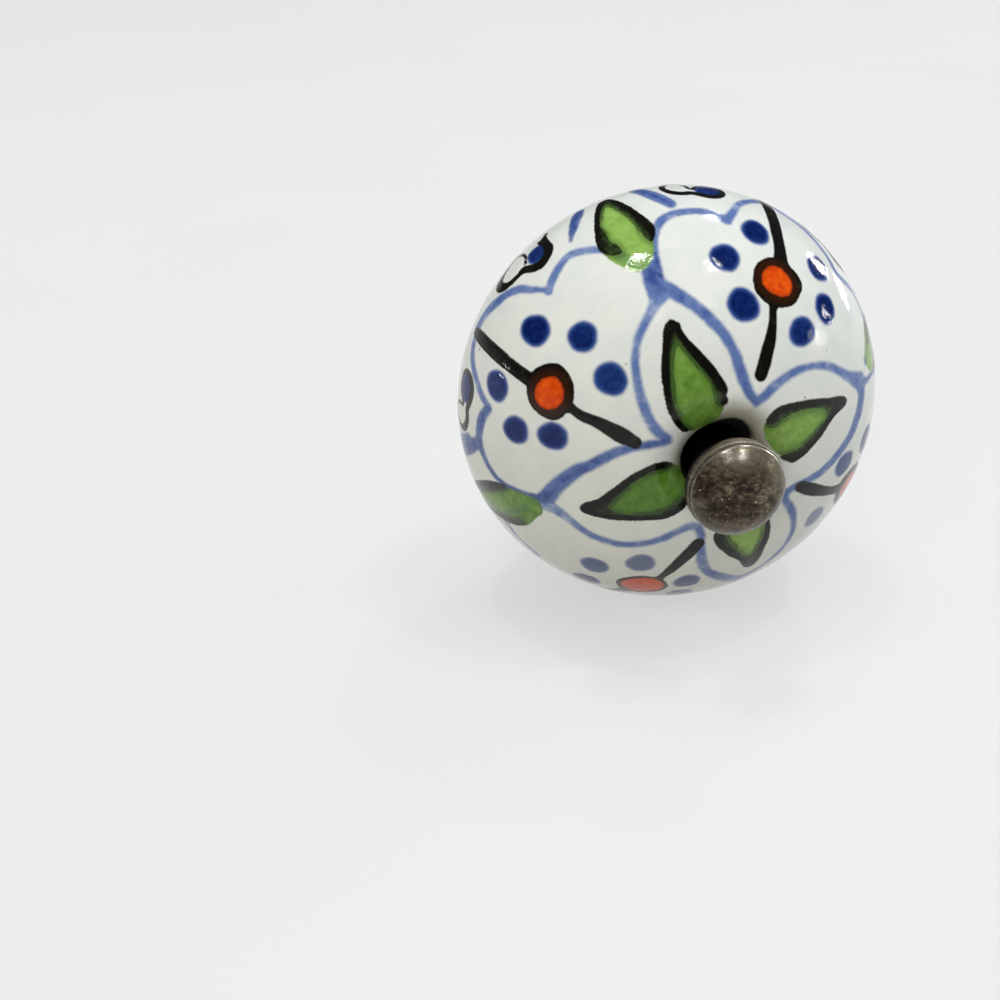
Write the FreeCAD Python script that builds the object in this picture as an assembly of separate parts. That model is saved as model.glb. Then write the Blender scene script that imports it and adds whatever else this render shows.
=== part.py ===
import FreeCAD, Part
import math
import os

# Round glazed ceramic cabinet knob with a ball-headed bolt.
# All lengths are in millimetres. The knob is drawn as it sits on an upright drawer front:
# +Z is up, the bolt lies along Y and the face looks towards -Y. The origin is on the bolt's
# axis, in the plane of the foot that presses on the drawer front. A height is a distance
# forward from that plane, and a radius is a distance from the axis.

# Ceramic body: a ball flattened from front to back
BODY_R = 20.0            # widest radius
WIDEST_H = 12.4          # height of the widest section
CROWN_RISE = 16.7        # rise of the face above the widest section
CROWN_FULLNESS = 2.4     # how square the face is across; 2 is an ellipse
CROWN_BULGE = 1.8        # how fast it rises from the widest section; 2 is an ellipse
BACK_FULLNESS = 1.8      # the same for the back, which is a little leaner
FOOT_WIDTH = 4.1         # width of the flat ring that presses on the drawer front
FOOT_ROUND = 0.7         # rounding of the foot's outer edge
CURVE_STEPS = 6          # spans of the outline's curve, in front and behind

# Hole through the body: wide from the face to a ledge, narrow from there to the recess
MOUTH_R = 2.9            # radius of the wide part
MOUTH_ROUND = 3.2        # rounding where the hole meets the face
LEDGE_DEPTH = 12.3       # depth of the ledge below the crown
RECESS_EDGE = 0.4        # bevel on the recess's edge in the foot

# Bolt: flattened ball head, waist, seat shoulder and metric shank in one piece
BALL_R = 4.35            # radius of the head's front dome, drawn on to the middle
BALL_DOME = 2.95         # height of each dome; the ball is flattened along the bolt
SEAM_FORE = 0.6          # the forging seam's distance in front of the middle of the ball
SEAM_WIDTH = 0.3
SEAM_DEPTH = 0.15
SEAM_STEP = 0.05         # the back dome is smaller than the front one by this much
WAIST_R = 1.9
WAIST_L = 8.15           # from the seat shoulder to the ball's back
WAIST_ROUND = 0.5        # hollow corner between the waist and its neighbours
SHOULDER_L = 5.0
SHOULDER_EDGE = 0.3      # bevel on the shoulder's front edge
THREAD_R = 2.0           # M4, over its crests
PITCH_R = 1.77           # the plain shank, and the thread where the nut hides it
SHANK_OUT = 25.0         # thread behind the foot, for the drawer front and its nut
SHANK_BEVEL = 0.5        # bevel on the shank's end

# Washer and nut, in the recess of the foot
WASHER_R = 4.5
WASHER_T = 0.8
WASHER_EDGE = 0.12
NUT_SIDES = 6
NUT_FLATS = 7.0          # across flats
NUT_T = 3.2
NUT_CHAMFER_ANGLE = 30.0
NUT_CHAMFER_R = 3.35     # radius of the ring that the chamfer leaves on each end

# Clearances
SHOULDER_GAP = 0.25      # shoulder to the wide hole, radial
SHANK_GAP = 0.25         # thread to the narrow hole, radial
WASHER_GAP = 0.15        # thread to the washer's hole, radial
THREAD_GAP = 0.02        # pitch radius to the nut, radial
NUT_SUNK = 0.6           # the nut's end lies this deep in the foot
CREST_GAP = 0.2          # from the nut's end to the first crest that shows
RECESS_ROOM = 1.9        # round the washer, for a socket wrench

# Sizes that follow from the ones above
BODY_H = WIDEST_H + CROWN_RISE
LEDGE_H = BODY_H - LEDGE_DEPTH
RECESS_DEPTH = WASHER_T + NUT_T + NUT_SUNK
RECESS_R = WASHER_R + RECESS_ROOM
FOOT_R = RECESS_R + FOOT_WIDTH
BACK_R = BALL_R - SEAM_STEP
NECK_DROP = BALL_DOME * math.sqrt(1 - (WAIST_R / BACK_R) ** 2)
BALL_H = LEDGE_H + SHOULDER_L + WAIST_L + NECK_DROP
SHOULDER_R = MOUTH_R - SHOULDER_GAP

AXIS_POINT = FreeCAD.Vector(0, 0, 0)
AXIS = FreeCAD.Vector(0, 1, 0)
SAME = 1e-4              # lengths closer than this are the same


def at(radius, height):
    """Point of a section, drawn in the XY plane beside the axis."""
    return FreeCAD.Vector(radius, -height, 0)


def line(start, end):
    return Part.LineSegment(at(*start), at(*end)).toShape()


def path(points):
    """Straight edges from each point to the next."""
    return [line(a, b) for a, b in zip(points, points[1:])]


def turned(edges):
    """Solid of revolution about the axis, from the closed outline of its half section."""
    return Part.Face(Part.Wire(edges)).revolve(AXIS_POINT, AXIS, 360)


def circle_edges(solid, radius, height):
    """Edges of a turned solid that are the circle of this radius at this height."""
    found = []
    for edge in solid.Edges:
        if edge.Degenerated or not isinstance(edge.Curve, Part.Circle):
            continue
        circle = edge.Curve
        if abs(circle.Radius - radius) < SAME and abs(circle.Center.y + height) < SAME:
            found.append(edge)
    return found


def crown_point(turn):
    """Point of the face's outline: turn is 0 at the widest section and 90 degrees on the axis."""
    radius = BODY_R * math.cos(turn) ** (2 / CROWN_FULLNESS)
    return radius, WIDEST_H + CROWN_RISE * math.sin(turn) ** (2 / CROWN_BULGE)


def back_outline():
    """Points from the foot's edge to just short of the widest section."""
    foot_turn = math.acos((FOOT_R / BODY_R) ** (BACK_FULLNESS / 2))
    rise = 2 / BACK_FULLNESS
    reach = WIDEST_H / math.sin(foot_turn) ** rise
    points = []
    for step in range(CURVE_STEPS):
        turn = foot_turn * (1 - step / CURVE_STEPS)
        radius = BODY_R * math.cos(turn) ** (2 / BACK_FULLNESS)
        points.append((radius, WIDEST_H - reach * math.sin(turn) ** rise))
    return points


def crown_outline():
    """Points from the widest section to the edge of the hole, before it is rounded."""
    hole_turn = math.acos((MOUTH_R / BODY_R) ** (CROWN_FULLNESS / 2))
    return [crown_point(hole_turn * step / CURVE_STEPS) for step in range(CURVE_STEPS + 1)]


def make_ceramic_body():
    skin_points = back_outline() + crown_outline()
    skin = Part.BSplineCurve()
    skin.interpolate([at(*point) for point in skin_points])
    narrow_r = THREAD_R + SHANK_GAP
    inside = path([
        skin_points[-1],
        (MOUTH_R, LEDGE_H),
        (narrow_r, LEDGE_H),
        (narrow_r, RECESS_DEPTH),
        (RECESS_R, RECESS_DEPTH),
        (RECESS_R, 0),
        (FOOT_R, 0),
    ])
    body = turned([skin.toShape()] + inside)
    body = body.makeFillet(MOUTH_ROUND, circle_edges(body, MOUTH_R, skin_points[-1][1]))
    body = body.makeFillet(FOOT_ROUND, circle_edges(body, FOOT_R, 0))
    return body.makeChamfer(RECESS_EDGE, circle_edges(body, RECESS_R, 0))


def dome_radius(widest, drop):
    """Radius of a dome at a distance behind the ball's middle."""
    return widest * math.sqrt(max(1 - (drop / BALL_DOME) ** 2, 0))


def dome_arc(widest, start_drop, end_drop):
    """Elliptic arc of the ball's outline between two distances behind its middle."""
    ellipse = Part.Ellipse(at(widest, BALL_H), at(0, BALL_H - BALL_DOME), at(0, BALL_H))
    start = ellipse.parameter(at(dome_radius(widest, start_drop), BALL_H - start_drop))
    end = ellipse.parameter(at(dome_radius(widest, end_drop), BALL_H - end_drop))
    if start > end:
        start -= 2 * math.pi
    return Part.ArcOfEllipse(ellipse, start, end).toShape()


def make_ball_head_bolt():
    seam_front = -SEAM_FORE - SEAM_WIDTH / 2
    seam_rear = -SEAM_FORE + SEAM_WIDTH / 2
    front_r = dome_radius(BALL_R, seam_front)
    rear_r = dome_radius(BACK_R, seam_rear)
    neck_h = BALL_H - NECK_DROP
    shoulder_h = LEDGE_H + SHOULDER_L
    seam = path([
        (front_r, BALL_H - seam_front),
        (front_r - SEAM_DEPTH, BALL_H + SEAM_FORE),
        (rear_r, BALL_H - seam_rear),
    ])
    shaft = path([
        (WAIST_R, neck_h),
        (WAIST_R, shoulder_h),
        (SHOULDER_R, shoulder_h),
        (SHOULDER_R, LEDGE_H),
        (PITCH_R, LEDGE_H),
        (PITCH_R, NUT_SUNK - CREST_GAP),
        (THREAD_R, NUT_SUNK - CREST_GAP),
        (THREAD_R, SHANK_BEVEL - SHANK_OUT),
        (THREAD_R - SHANK_BEVEL, -SHANK_OUT),
        (0, -SHANK_OUT),
        (0, BALL_H + BALL_DOME),
    ])
    front_dome = dome_arc(BALL_R, -BALL_DOME, seam_front)
    back_dome = dome_arc(BACK_R, seam_rear, NECK_DROP)
    bolt = turned([front_dome] + seam + [back_dome] + shaft)
    bolt = bolt.makeChamfer(SHOULDER_EDGE, circle_edges(bolt, SHOULDER_R, shoulder_h))
    waist_ends = circle_edges(bolt, WAIST_R, shoulder_h) + circle_edges(bolt, WAIST_R, neck_h)
    hollow = min(WAIST_ROUND, (SHOULDER_R - SHOULDER_EDGE - WAIST_R) * 0.9)
    return bolt.makeFillet(hollow, waist_ends)


def make_washer():
    """Flat washer on the recess's floor, with its stamped edges eased."""
    hole_r = THREAD_R + WASHER_GAP
    front = RECESS_DEPTH
    rear = front - WASHER_T
    return turned(path([
        (hole_r, front),
        (WASHER_R - WASHER_EDGE, front),
        (WASHER_R, front - WASHER_EDGE),
        (WASHER_R, rear + WASHER_EDGE),
        (WASHER_R - WASHER_EDGE, rear),
        (hole_r, rear),
        (hole_r, front),
    ]))


def make_hex_nut():
    """Hexagon nut behind the washer, chamfered on both ends."""
    corner_r = NUT_FLATS / 2 / math.cos(math.pi / NUT_SIDES)
    bevel = (corner_r - NUT_CHAMFER_R) * math.tan(math.radians(NUT_CHAMFER_ANGLE))
    hole_r = PITCH_R + THREAD_GAP
    front = RECESS_DEPTH - WASHER_T
    rear = front - NUT_T
    turned_blank = turned(path([
        (hole_r, front),
        (NUT_CHAMFER_R, front),
        (corner_r, front - bevel),
        (corner_r, rear + bevel),
        (NUT_CHAMFER_R, rear),
        (hole_r, rear),
        (hole_r, front),
    ]))
    corners = []
    for corner in range(NUT_SIDES + 1):
        turn = 2 * math.pi * corner / NUT_SIDES
        corners.append(FreeCAD.Vector(corner_r * math.cos(turn), -front, corner_r * math.sin(turn)))
    hexagon = Part.Face(Part.makePolygon(corners)).extrude(FreeCAD.Vector(0, NUT_T, 0))
    return hexagon.common(turned_blank)


PIECES = {
    "ceramic_body": make_ceramic_body,
    "ball_head_bolt": make_ball_head_bolt,
    "washer": make_washer,
    "hex_nut": make_hex_nut,
}

os.makedirs("parts", exist_ok=True)
for name, make in PIECES.items():
    piece = make()
    solid = piece.Solids[0]
    print(name, "solids", len(piece.Solids), "valid", solid.isValid(), "mm3", round(solid.Volume, 1))
    solid.exportStep(f"parts/{name}.step")
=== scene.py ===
import math
import bpy
import numpy as np
from mathutils import Matrix, Vector


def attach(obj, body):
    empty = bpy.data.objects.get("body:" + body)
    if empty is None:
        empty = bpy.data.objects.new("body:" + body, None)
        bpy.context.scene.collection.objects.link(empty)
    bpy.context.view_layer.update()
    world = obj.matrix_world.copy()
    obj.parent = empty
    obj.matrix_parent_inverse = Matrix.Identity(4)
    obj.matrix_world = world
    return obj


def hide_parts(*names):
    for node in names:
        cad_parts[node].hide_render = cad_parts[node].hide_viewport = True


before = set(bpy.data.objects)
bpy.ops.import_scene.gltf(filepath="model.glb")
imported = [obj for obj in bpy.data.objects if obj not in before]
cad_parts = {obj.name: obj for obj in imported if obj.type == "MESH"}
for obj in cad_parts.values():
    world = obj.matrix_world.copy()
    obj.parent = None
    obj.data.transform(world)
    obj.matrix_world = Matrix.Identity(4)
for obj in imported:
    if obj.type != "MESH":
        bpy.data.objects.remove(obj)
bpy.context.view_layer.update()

# Cabinet knob. Lengths below are in millimetres until a mesh is made, then metres.
# The bolt lies along Y, the face looks towards -Y, +Z is up. A height is a distance forward of
# the foot's plane. The paint is laid out on a map of the ceramic's skin as seen from the front:
# (x, y) of the map is the way along the skin from the axis, in the direction of world X and Z.
MM = 0.001
rng = np.random.default_rng(seed=7)

# The ceramic's section
BODY_R = 20.0
WIDEST_H = 12.4
CROWN_RISE = 16.7
CROWN_FULLNESS = 2.4
CROWN_BULGE = 1.8
BACK_FULLNESS = 1.8
FOOT_R = 10.5
FOOT_ROUND = 0.7
RECESS_R = 6.4
RECESS_DEPTH = 4.6
RECESS_EDGE = 0.4
MOUTH_R = 2.9
MOUTH_ROUND = 3.2
LEDGE_H = 16.8
NARROW_R = 2.25
SPANS = 6
SKIN_SAMPLES = 6001


def skin_points():
    """The drawn points of the ceramic's outline, from the foot's edge to the hole's edge."""
    foot_turn = math.acos((FOOT_R / BODY_R) ** (BACK_FULLNESS / 2))
    hole_turn = math.acos((MOUTH_R / BODY_R) ** (CROWN_FULLNESS / 2))
    back = 2 / BACK_FULLNESS
    reach = WIDEST_H / math.sin(foot_turn) ** back
    points = []
    for step in range(SPANS):
        turn = foot_turn * (1 - step / SPANS)
        points.append((BODY_R * math.cos(turn) ** back, WIDEST_H - reach * math.sin(turn) ** back))
    for step in range(SPANS + 1):
        turn = hole_turn * step / SPANS
        points.append((BODY_R * math.cos(turn) ** (2 / CROWN_FULLNESS),
                       WIDEST_H + CROWN_RISE * math.sin(turn) ** (2 / CROWN_BULGE)))
    return np.array(points)


def cubic(points, count):
    """Samples of the smooth curve through the points, the same one as the solid's spline."""
    gaps = np.hypot(*np.diff(points, axis=0).T)
    knots = np.concatenate([[0], np.cumsum(gaps)])
    n = len(points)
    left = np.eye(n)
    right = np.zeros((n, 2))
    for i in range(1, n - 1):
        left[i, i - 1:i + 2] = gaps[i - 1], 2 * (gaps[i - 1] + gaps[i]), gaps[i]
        right[i] = 6 * ((points[i + 1] - points[i]) / gaps[i] - (points[i] - points[i - 1]) / gaps[i - 1])
    left[0, 1] = -1
    left[-1, -2] = -1
    bend = np.linalg.solve(left, right)
    t = np.linspace(0, knots[-1], count)
    i = np.clip(np.searchsorted(knots, t, side="right") - 1, 0, n - 2)
    a = ((knots[i + 1] - t) / gaps[i])[:, None]
    b = 1 - a
    pull = ((a ** 3 - a) * bend[i] + (b ** 3 - b) * bend[i + 1]) * (gaps[i] ** 2)[:, None] / 6
    return a * points[i] + b * points[i + 1] + pull


# the skin from the hole outwards, and the way from the axis to each of its samples
SKIN = cubic(skin_points(), SKIN_SAMPLES)[::-1]
SKIN_S = np.concatenate([[0], np.cumsum(np.hypot(*np.diff(SKIN, axis=0).T))]) + SKIN[0, 0]
# the lip: a circle that touches the skin and the wall of the hole
run = np.gradient(SKIN, axis=0)
run /= np.hypot(*run.T)[:, None]
inward = SKIN + np.stack([run[:, 1], -run[:, 0]], -1) * MOUTH_ROUND
touch = int(np.argmin(np.abs(inward[:SKIN_SAMPLES // 4, 0] - (MOUTH_R + MOUTH_ROUND))))
LIP_MID = inward[touch]
LIP_S = float(SKIN_S[touch])
LIP_TURN = math.atan2(SKIN[touch, 1] - LIP_MID[1], SKIN[touch, 0] - LIP_MID[0])
LIP_RUN = MOUTH_ROUND * (math.pi - LIP_TURN)
END_S = float(SKIN_S[-1])


def skin(s):
    """(radius, height) of the skin at a way s from the axis, the rounded lip of the hole included."""
    s = np.asarray(s, float)
    down = LIP_S - s
    turn = LIP_TURN + np.clip(down, 0, LIP_RUN) / MOUTH_ROUND
    lip_r = LIP_MID[0] + MOUTH_ROUND * np.cos(turn)
    lip_h = LIP_MID[1] + MOUTH_ROUND * np.sin(turn) - np.clip(down - LIP_RUN, 0, None)
    radius = np.where(down > 0, lip_r, np.interp(s, SKIN_S, SKIN[:, 0]))
    height = np.where(down > 0, lip_h, np.interp(s, SKIN_S, SKIN[:, 1]))
    return radius, height


# The painting, on the map. A stroke is a list of (x, y, width). A patch is the closed outline of a
# painted area.
BLUE = []       # (stroke, ink) of the thin blue wash lines

INK = []        # strokes of the black-brown liner
INK_PATCH = []  # patches of the same
GREEN = []
NAVY = []       # blue fills that the black liner goes round
NAVY_INK = .75


def turned_pts(points, quarter):
    """Points of a stroke or patch, turned a number of quarters anticlockwise on the map."""
    c, s = round(math.cos(quarter * math.pi / 2)), round(math.sin(quarter * math.pi / 2))
    return [(p[0] * c - p[1] * s, p[0] * s + p[1] * c) + tuple(p[2:]) for p in points]


def moved(points, shift):
    return [(p[0] + shift[0], p[1] + shift[1]) + tuple(p[2:]) for p in points]


def wobble(points, amount):
    """Moves the points a little, as a repeat by hand is never the same."""
    shift = rng.normal(0, amount, 2)
    out = []
    for x, y, width in points:
        x += shift[0] + rng.normal(0, amount / 3)
        y += shift[1] + rng.normal(0, amount / 3)
        out.append((x, y, width))
    return out


# the four petal rings round the hole, from each inner corner over the join of two lobes
BLUE += [
    ([(-5.1, 3.05, .8), (-5.85, 3.8, .9), (-6.5, 4.9, .85), (-7.05, 6.3, .85), (-7.4, 7.7, .75),
      (-7.6, 9.2, .7), (-7.55, 10.4, .65), (-7.25, 11.8, .65), (-6.5, 13.2, .75), (-5.7, 14.5, 1.0),
      (-5.2, 15.6, 1.5)], .55),
    ([(-5.2, 16.2, 1.7), (-4.1, 15.9, 1.4), (-2.8, 15.0, 1.15), (-1.7, 14.1, 1.1), (-.75, 13.1, 1.05),
      (.15, 12.0, .95), (.85, 10.8, .9), (1.3, 9.7, .95), (1.55, 8.6, 1.0), (1.9, 7.5, 1.0), (2.3, 6.5, .9),
      (2.85, 5.75, .75)], .62),
    ([(2.85, 5.75, .75), (3.9, 6.3, .85), (4.8, 6.95, .85), (6.0, 7.55, .75), (7.4, 7.95, .68),
      (9.0, 8.03, .55), (10.5, 7.8, .7), (11.8, 7.3, .78), (12.8, 6.7, .85), (13.9, 6.05, 1.0),
      (15.2, 5.4, 1.5), (16.2, 4.9, 1.9)], .5),
    ([(16.2, 4.9, 1.9), (16.3, 3.7, 1.5), (15.9, 2.4, 1.45), (15.2, 1.2, 1.35), (14.5, .3, 1.2),
      (13.4, -.6, 1.05), (12.0, -1.55, .95), (10.6, -2.3, .9), (9.0, -2.75, .8), (7.6, -2.95, .75),
      (6.6, -3.3, .7)], .55),
    ([(6.5, -3.4, .7), (6.55, -4.2, .75), (7.2, -5.1, .8), (7.9, -6.3, .75), (8.35, -7.6, .62),
      (8.6, -9.2, .62), (8.45, -10.8, .65), (7.9, -12.4, .8), (7.0, -13.8, .9), (5.9, -15.0, 1.3),
      (4.9, -15.8, 1.7)], .55),
    ([(4.9, -15.8, 1.7), (3.5, -14.95, 1.4), (2.3, -14.0, 1.3), (1.25, -13.1, 1.05), (.35, -12.2, .9),
      (-.3, -11.1, .95), (-.7, -9.9, .95), (-.95, -8.6, .7), (-1.2, -7.0, .65), (-1.7, -5.95, .7)], .5),
    ([(-1.75, -5.9, .7), (-2.5, -5.75, .75), (-3.4, -6.2, .8), (-4.65, -7.1, .75), (-5.9, -7.7, .72),
      (-7.3, -8.12, .72), (-8.6, -8.22, .78), (-10.1, -7.95, .75), (-11.5, -7.4, .75), (-12.7, -6.6, .8),
      (-13.7, -5.9, .95), (-14.8, -5.35, 1.3), (-15.8, -5.1, 1.7)], .42),
    ([(-15.8, -5.0, 1.8), (-15.1, -3.6, 1.55), (-14.4, -2.5, 1.4), (-13.5, -1.4, 1.3), (-12.6, -.5, 1.2),
      (-11.6, .15, 1.0), (-10.4, 1.0, .95), (-9.2, 1.7, .9), (-7.8, 2.25, .75), (-6.3, 2.55, .7),
      (-5.0, 2.75, .7)], .7),
    # the stem of the upper join, and the two sides of the left one
    ([(-5.15, 15.7, 1.9), (-5.5, 17.2, 1.9), (-5.7, 18.4, 1.5)], .6),
    ([(-8.3, 19.3, 1.1), (-7.0, 18.8, 1.5), (-5.9, 19.1, 1.3)], .3),
    ([(-4.85, 16.4, .7), (-4.8, 17.6, .6), (-4.9, 18.9, .6), (-4.95, 20.2, .5)], .8),
]

# outlines of the lobes, from join to join, with a corner between their scallops
LOBE_A = [
    ([(-6.4, 18.3, .8), (-7.6, 19.3, .8), (-9.2, 20.1, .8), (-10.6, 20.55, .8), (-12.1, 20.6, .85),
      (-13.6, 20.3, .85), (-14.5, 19.6, .85), (-15.2, 18.5, .9), (-15.65, 17.5, .9),
      (-15.95, 16.35, .8)], .5),
    ([(-15.9, 16.25, .7), (-16.8, 16.45, .6), (-18.1, 16.5, .75), (-19.5, 16.65, .95), (-20.9, 16.35, .95),
      (-22.1, 15.75, 1.0), (-23.3, 14.95, 1.2), (-24.5, 14.1, 1.25), (-25.4, 13.1, 1.2),
      (-26.1, 11.9, 1.3)], .55),
    ([(-26.25, 11.0, 1.0), (-26.3, 9.0, .95), (-26.0, 7.8, .95), (-25.35, 6.5, .9), (-24.5, 5.35, .9),
      (-23.7, 4.3, .9), (-22.5, 3.4, .8)], .45),
    ([(-22.6, 3.3, 1.0), (-23.35, 2.1, 1.15), (-23.8, .9, 1.2), (-24.05, -.5, 1.15), (-23.8, -1.9, 1.0),
      (-23.2, -3.0, .9), (-22.4, -4.0, .85), (-21.4, -4.7, .75), (-19.9, -4.95, .6), (-18.0, -4.85, .6),
      (-16.4, -4.9, 1.2)], .78),
]
LOBE_B = [
    ([(-4.9, 19.6, .5), (-4.75, 20.9, .6), (-4.4, 22.2, .8), (-3.6, 23.4, .95), (-2.3, 24.15, .88),
      (-.8, 24.4, .88), (.6, 24.4, .88), (1.9, 24.1, .95), (2.9, 23.5, 1.1), (3.65, 22.95, 1.1)], .5),
    ([(3.6, 22.95, 1.1), (4.5, 23.6, .9), (5.4, 24.4, .85), (6.3, 25.1, .8), (7.6, 25.65, .75),
      (9.0, 25.95, .75), (10.4, 26.15, .9), (11.6, 26.3, 1.0)], .5),
    ([(12.6, 25.9, 1.2), (13.6, 24.7, 1.3), (15.1, 23.1, 1.3), (16.1, 21.7, 1.2), (16.8, 19.9, 1.1),
      (17.2, 18.2, 1.0), (17.1, 16.9, .9), (17.2, 15.9, .8)], .5),
    ([(17.2, 15.9, .8), (18.4, 15.0, .9), (19.6, 14.2, .95), (20.5, 13.1, .95), (20.95, 11.9, .95),
      (20.8, 10.5, .9), (20.2, 9.1, .8), (19.2, 7.9, .7), (17.9, 6.6, .9)], .45),
]
BLUE += LOBE_A + LOBE_B
# the two lower lobes repeat the upper ones
for stroke, ink in LOBE_B + LOBE_A:
    BLUE.append((wobble(turned_pts(stroke, 2), amount=.15), ink))

# short blue strokes each side of the outer leaves, broad outside
WEDGES = [
    ([(-13.0, 27.2, 1.3), (-13.2, 26.2, 1.6), (-13.4, 24.9, 1.35), (-13.6, 23.5, .95),
      (-13.75, 22.1, .4)], .78),
    ([(-5.2, 29.6, 1.7), (-4.2, 28.4, 1.75), (-3.1, 27.1, 1.7), (-2.0, 25.9, 1.5)], .6),
]
for quarter in range(4):
    for stroke, ink in WEDGES:
        drawn = turned_pts(stroke, quarter)
        if quarter:
            drawn = wobble(drawn, amount=.2)
        BLUE.append((drawn, ink))
BLUE.append(([(-4.9, 29.3, .7), (-4.3, 29.15, .75)], .95))
BLUE.append(([(-24.2, -1.5, 1.3), (-25.6, -2.9, 1.7), (-27.0, -4.3, 1.8), (-28.3, -5.8, 1.7)], .75))

# dark blue dots: x, y, half width, half height, turn, ink
DOTS = [
    (-17.23, 12.25, 1.64, 1.6, 0, .95), (-12.3, 11.85, 1.38, 1.4, 0, .85), (-9.77, 8.22, 1.45, 1.45, 0, .6),
    (-21.5, 6.05, 1.5, 1.6, 0, .8), (-18.93, 2.1, 1.44, 1.4, 0, .85), (-15.0, 2.45, 1.5, 1.28, .35, .88),
    (6.5, 21.35, 1.66, 1.52, 0, .95), (1.85, 18.7, 1.5, 1.42, .2, .9), (2.58, 14.15, 1.52, 1.54, 0, .9),
    (8.3, 11.2, 1.5, 1.3, .3, .8), (12.1, 12.85, 1.46, 1.44, 0, 1.0), (13.4, 17.0, 1.65, 1.6, 0, .9),
    (-6.25, -10.75, 1.32, 1.3, 0, .2), (-10.5, -12.5, 1.33, 1.42, 0, .3), (-11.05, -16.8, 1.4, 1.4, 0, .85),
    (-1.25, -14.1, 1.3, 1.3, 0, .35), (-1.1, -17.9, 1.4, 1.35, 0, .85), (-6.9, -21.4, 1.5, 1.5, 0, .9),
    (14.0, -2.85, 1.38, 1.3, 0, .4), (18.6, -2.1, 1.5, 1.45, 0, .85), (11.3, -8.2, 1.2, 1.15, 0, .1),
    (20.6, -7.6, 1.5, 1.55, 0, .9), (17.7, -12.0, 1.55, 1.5, 0, .9), (13.9, -13.1, 1.4, 1.35, 0, .85),
]

# the flower stem of each lobe: black sticks and the ring round the orange spot
INK += [
    [(-26.3, 11.2, 1.3), (-25.2, 10.8, 1.6), (-23.3, 9.95, 1.72), (-21.2, 9.05, 1.68), (-19.4, 8.25, 1.5),
     (-17.9, 7.6, 1.5), (-16.8, 7.2, 1.5)],
    [(-13.9, 5.7, 1.4), (-13.2, 5.3, .95), (-12.3, 4.78, 1.0), (-11.1, 4.4, 1.1), (-9.9, 3.85, 1.35),
     (-8.8, 3.3, 1.5), (-7.6, 2.7, 1.15)],
    [(11.9, 26.4, 1.7), (11.45, 25.2, 1.85), (10.8, 23.9, 1.8), (10.05, 22.4, 1.7), (9.35, 21.0, 1.6),
     (8.75, 19.5, 1.5), (8.2, 18.2, 1.7), (7.8, 17.3, 1.9)],
    [(5.9, 14.3, 1.3), (5.5, 13.5, .85), (5.2, 12.3, .9), (4.75, 11.0, 1.15), (4.3, 10.0, 1.28),
     (3.9, 9.0, 1.32), (3.45, 8.05, 1.25)],
    [(-4.4, -13.8, 1.3), (-3.95, -12.9, .85), (-3.3, -11.6, 1.1), (-2.6, -10.2, 1.25), (-1.95, -9.0, 1.35),
     (-1.35, -7.8, 1.25)],
    [(-6.6, -17.2, 1.7), (-7.6, -18.9, 1.5), (-8.8, -21.0, 1.6), (-10.0, -23.4, 1.75), (-11.2, -25.6, 1.7)],
    [(8.0, -3.15, 1.15), (9.3, -3.85, 1.35), (11.0, -4.7, 1.2), (12.6, -5.4, 1.0), (14.2, -5.9, 1.2)],
    [(18.2, -7.4, 1.5), (20.0, -8.3, 1.5), (22.2, -9.3, 1.65), (24.4, -10.3, 1.7), (26.3, -11.2, 1.5)],
]
RING_A = [(-14.8, 9.3), (-13.9, 8.85), (-13.2, 7.9), (-13.0, 6.8), (-13.15, 5.7), (-13.7, 4.8), (-14.4, 4.15),
          (-15.3, 3.95), (-16.4, 4.3), (-17.3, 5.0), (-17.75, 6.0), (-17.75, 7.2), (-17.2, 8.3),
          (-16.1, 9.05)]
RING_B = [(6.3, 18.35), (5.0, 17.8), (4.25, 16.8), (4.0, 15.6), (4.4, 14.6), (5.2, 13.85), (6.4, 13.5),
          (7.9, 13.65), (9.0, 14.4), (9.75, 15.4), (9.6, 16.4), (9.1, 17.2), (8.6, 18.1), (7.5, 18.4)]
RING_C = [(-5.5, -12.95), (-6.9, -13.4), (-8.0, -14.5), (-8.0, -15.8), (-7.3, -17.2), (-6.0, -18.0),
          (-4.6, -17.7), (-3.5, -16.9), (-2.9, -15.5), (-3.2, -14.3), (-4.1, -13.3)]
RING_D = [(14.1, -5.2), (15.3, -4.5), (16.8, -4.35), (18.2, -4.9), (19.0, -6.2), (19.0, -7.6), (18.1, -8.9),
          (16.7, -9.3), (15.2, -8.9), (14.2, -7.7), (13.9, -6.4)]
INK_PATCH += [RING_A, RING_B, RING_C, RING_D]
ORANGE = [
    [(-15.0, 8.05), (-14.3, 7.55), (-13.98, 6.75), (-14.15, 5.85), (-14.7, 5.2), (-15.6, 4.93), (-16.4, 5.2),
     (-16.85, 5.95), (-16.75, 6.85), (-16.2, 7.6)],
    [(6.7, 17.5), (5.7, 17.2), (5.1, 16.4), (5.15, 15.6), (5.8, 14.9), (6.9, 14.5), (7.9, 14.75), (8.4, 15.6),
     (8.2, 16.5), (7.6, 17.2)],
    [(-5.2, -13.3), (-6.5, -13.7), (-7.5, -14.7), (-7.5, -15.8), (-6.9, -16.8), (-5.8, -17.4), (-4.6, -17.1),
     (-3.7, -16.3), (-3.3, -15.3), (-3.6, -14.3), (-4.3, -13.6)],
    [(15.7, -5.7), (16.8, -5.3), (17.8, -6.0), (18.0, -7.0), (17.3, -8.0), (16.2, -8.2), (15.2, -7.5),
     (15.0, -6.5)],
]

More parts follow.
